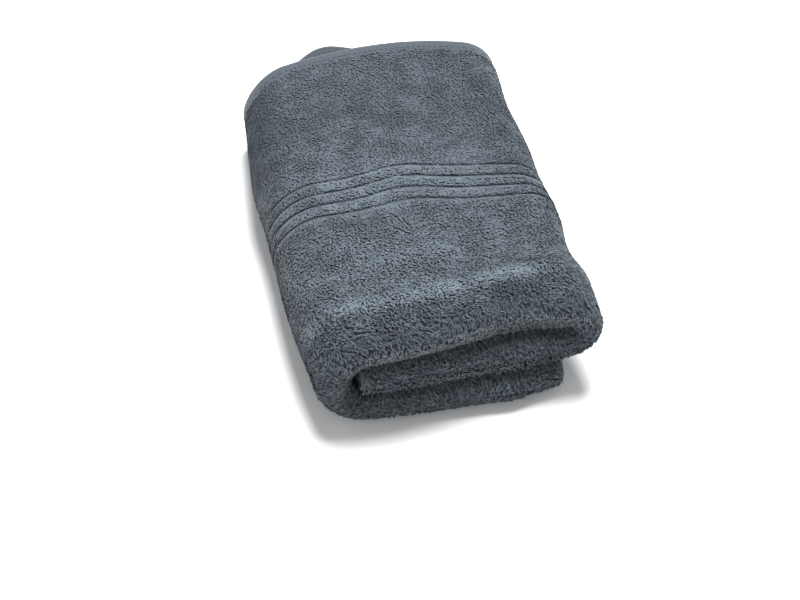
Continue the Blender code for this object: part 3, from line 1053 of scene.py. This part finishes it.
class TowelPile(bpy.types.PropertyGroup):
    """Sizes and lie of the terry pile"""
    spacing: FloatProperty(
        name="Spacing", description="Between one tuft's root and the next",
        min=0.0006, max=0.004, default=0.00115, **LENGTH)
    reach: FloatProperty(
        name="Reach", description="How far a tuft's tip leans from its root",
        min=0, max=0.006, default=0.0024, **LENGTH)
    height: FloatProperty(
        name="Height", description="How high a tuft's tip stands over its root",
        min=0.0005, max=0.004, default=0.0016, **LENGTH)
    width: FloatProperty(
        name="Width", description="A tuft's width at its widest",
        min=0.0003, max=0.002, default=0.0011, **LENGTH)
    sunk: FloatProperty(
        name="Sunk", description="How deep a tuft is rooted in the ground",
        min=0, max=0.001, default=0.0003, **LENGTH)
    lock: FloatProperty(
        name="Lock", description="Size of the cell in which tufts clump",
        min=0.0005, max=0.01, default=0.0022, **LENGTH)
    clump: FloatProperty(
        name="Clump", description="How far tips are drawn to their lock's middle", min=0, max=1, default=0.6)
    soft: FloatProperty(
        name="Softness", description="How far a tuft that lies flat is shaded like the cloth under it",
        min=0, max=10, default=3.0)
    groove_bare: FloatProperty(
        name="Bare groove", description="Width of a groove that carries no pile",
        min=0, max=0.004, default=0.0007, **LENGTH)
    lean_way: FloatProperty(
        name="Lean", description="Direction in which the pile is brushed",
        subtype="ANGLE", default=math.radians(60))
    seed: IntProperty(name="Seed", description="Seed of the pile's random draws", default=7)


class TowelStage(bpy.types.PropertyGroup):
    """Floor and lights"""
    floor_colour: FloatVectorProperty(
        name="Floor colour", description="Colour of the plain floor", default=(0.86, 0.865, 0.87), **COLOUR)
    key: FloatProperty(
        name="Key light", description="Strength of the soft key light", unit="POWER", default=80)
    room: FloatProperty(name="Room light", description="Strength of the light all round", default=5.5)


# Stage

VIEW_AZIMUTH = math.radians(-14)
VIEW_ELEVATION = math.radians(44)
FRAME_WIDE, FRAME_HIGH = 800, 600
FOCAL = 2370            # in pixels of a frame of that width
LOOK_AT = (0.0059, -0.0215, 0.025)
LOOK_PIXEL = (424, 239)
LOOK_DEPTH = 1.42
SENSOR = 36
FLOOR_REACH = 6
FLOOR_ROUGHNESS = 0.7
KEY_PLACE = (0.4, 0.75, 1.6)
KEY_SIZE = 1.0
ROOM_RAMP = [(0.10, 1), (0.35, 0.05)]       # two heights in the room, and how bright it is at each


def place_camera(scene):
    """The camera stands back from the point looked at, which falls on its own pixel of the frame."""
    back = Vector((
        math.sin(VIEW_AZIMUTH) * math.cos(VIEW_ELEVATION),
        -math.cos(VIEW_AZIMUTH) * math.cos(VIEW_ELEVATION),
        math.sin(VIEW_ELEVATION),
    ))
    right = Vector((math.cos(VIEW_AZIMUTH), math.sin(VIEW_AZIMUTH), 0))
    up = back.cross(right)
    camera = bpy.data.objects.new("camera", bpy.data.cameras.new("camera"))
    scene.collection.objects.link(camera)
    camera.data.sensor_width = SENSOR
    camera.data.lens = FOCAL * SENSOR / FRAME_WIDE
    place = Vector(LOOK_AT) + LOOK_DEPTH * (
        back
        - (LOOK_PIXEL[0] - FRAME_WIDE / 2) / FOCAL * right
        + (LOOK_PIXEL[1] - FRAME_HIGH / 2) / FOCAL * up
    )
    turn = Matrix((right, up, back)).transposed().to_4x4()
    camera.matrix_world = Matrix.Translation(place) @ turn
    scene.camera = camera


def lay_floor(scene, colour):
    mesh = bpy.data.meshes.new("floor")
    corners = [(x * FLOOR_REACH, y * FLOOR_REACH, 0) for x, y in ((-1, -1), (1, -1), (1, 1), (-1, 1))]
    mesh.from_pydata(corners, [], [(0, 1, 2, 3)])
    floor = bpy.data.objects.new("floor", mesh)
    scene.collection.objects.link(floor)
    paper = bpy.data.materials.new("plain floor")
    paper.use_nodes = True
    shader = paper.node_tree.nodes["Principled BSDF"]
    shader.inputs["Base Color"].default_value = (*colour, 1)
    shader.inputs["Roughness"].default_value = FLOOR_ROUGHNESS
    mesh.materials.append(paper)


def hang_key(scene, strength):
    light = bpy.data.lights.new("key", "AREA")
    light.shape = "DISK"
    light.size = KEY_SIZE
    light.energy = strength
    lamp = bpy.data.objects.new("key", light)
    scene.collection.objects.link(lamp)
    lamp.location = KEY_PLACE
    lamp.rotation_euler = Vector(KEY_PLACE).to_track_quat("Z", "Y").to_euler()


def light_room(scene, strength):
    """Light from all round, brightest low down and dim overhead."""
    world = bpy.data.worlds.new("room")
    scene.world = world
    world.use_nodes = True
    tree = world.node_tree
    place = tree.nodes.new("ShaderNodeTexCoord")
    split = tree.nodes.new("ShaderNodeSeparateXYZ")
    ramp = tree.nodes.new("ShaderNodeValToRGB")
    background = tree.nodes["Background"]
    tree.links.new(place.outputs["Generated"], split.inputs[0])
    tree.links.new(split.outputs["Z"], ramp.inputs["Fac"])
    tree.links.new(ramp.outputs["Color"], background.inputs["Color"])
    for element, (height, bright) in zip(ramp.color_ramp.elements, ROOM_RAMP):
        element.position = height
        element.color = (bright, bright, bright, 1)
    background.inputs["Strength"].default_value = strength
    scene.view_settings.view_transform = "Standard"


# Operators

class TOWEL_OT_weave_ground(bpy.types.Operator):
    """Weave the towel's ground with its hems, selvedges and border grooves, folded and wrapped"""
    bl_idname = "towel.weave_ground"
    bl_label = "Weave Ground"

    def execute(self, context):
        weave_ground(context.scene.towel_look)
        return {"FINISHED"}


class TOWEL_OT_sew_hems(bpy.types.Operator):
    """Sew a row of stitches along both hems, on both faces of the cloth"""
    bl_idname = "towel.sew_hems"
    bl_label = "Sew Hems"

    def execute(self, context):
        sew_hems(context.scene.towel_look, context.scene.towel_seams)
        return {"FINISHED"}


class TOWEL_OT_raise_pile(bpy.types.Operator):
    """Raise the terry pile on every side of the cloth that shows"""
    bl_idname = "towel.raise_pile"
    bl_label = "Raise Pile"

    def execute(self, context):
        ground, stitches = (bpy.data.objects.get(name) for name in ("woven_ground", "hem_stitches"))
        if ground is None or stitches is None:
            raise RuntimeError("weave the ground and sew its hems before raising its pile")
        pieces = [stitches, *raise_pile(context.scene.towel_look, context.scene.towel_pile)]
        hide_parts(NODE)
        return {"FINISHED"}


class TOWEL_OT_set_stage(bpy.types.Operator):
    """Set up the camera, lay the plain floor and hang the soft lights"""
    bl_idname = "towel.set_stage"
    bl_label = "Set Stage"

    def execute(self, context):
        scene = context.scene
        place_camera(scene)
        lay_floor(scene, scene.towel_stage.floor_colour)
        hang_key(scene, scene.towel_stage.key)
        light_room(scene, scene.towel_stage.room)
        return {"FINISHED"}


OPERATORS = (TOWEL_OT_weave_ground, TOWEL_OT_sew_hems, TOWEL_OT_raise_pile, TOWEL_OT_set_stage)
GROUPS = {
    "towel_look": TowelLook, "towel_seams": TowelSeams, "towel_pile": TowelPile, "towel_stage": TowelStage,
}


class TOWEL_PT_panel(bpy.types.Panel):
    """Lists the towel's settings and its operators"""
    bl_idname = "TOWEL_PT_panel"
    bl_label = "Terry Towel"
    bl_space_type = "VIEW_3D"
    bl_region_type = "UI"
    bl_category = "Towel"

    def draw(self, context):
        layout = self.layout
        for group, cls in GROUPS.items():
            box = layout.box()
            box.label(text=group.removeprefix("towel_").title())
            for name in cls.__annotations__:
                box.prop(getattr(context.scene, group), name)
        for operator in OPERATORS:
            layout.operator(operator.bl_idname)


CLASSES = (*GROUPS.values(), *OPERATORS, TOWEL_PT_panel)


def register():
    for cls in CLASSES:
        bpy.utils.register_class(cls)
    for name, cls in GROUPS.items():
        setattr(bpy.types.Scene, name, PointerProperty(type=cls))


def unregister():
    for name in GROUPS:
        delattr(bpy.types.Scene, name)
    for cls in reversed(CLASSES):
        bpy.utils.unregister_class(cls)


def main():
    register()
    bpy.ops.towel.weave_ground()
    bpy.ops.towel.sew_hems()
    bpy.ops.towel.raise_pile()
    bpy.ops.towel.set_stage()


if __name__ == "__main__":
    main()
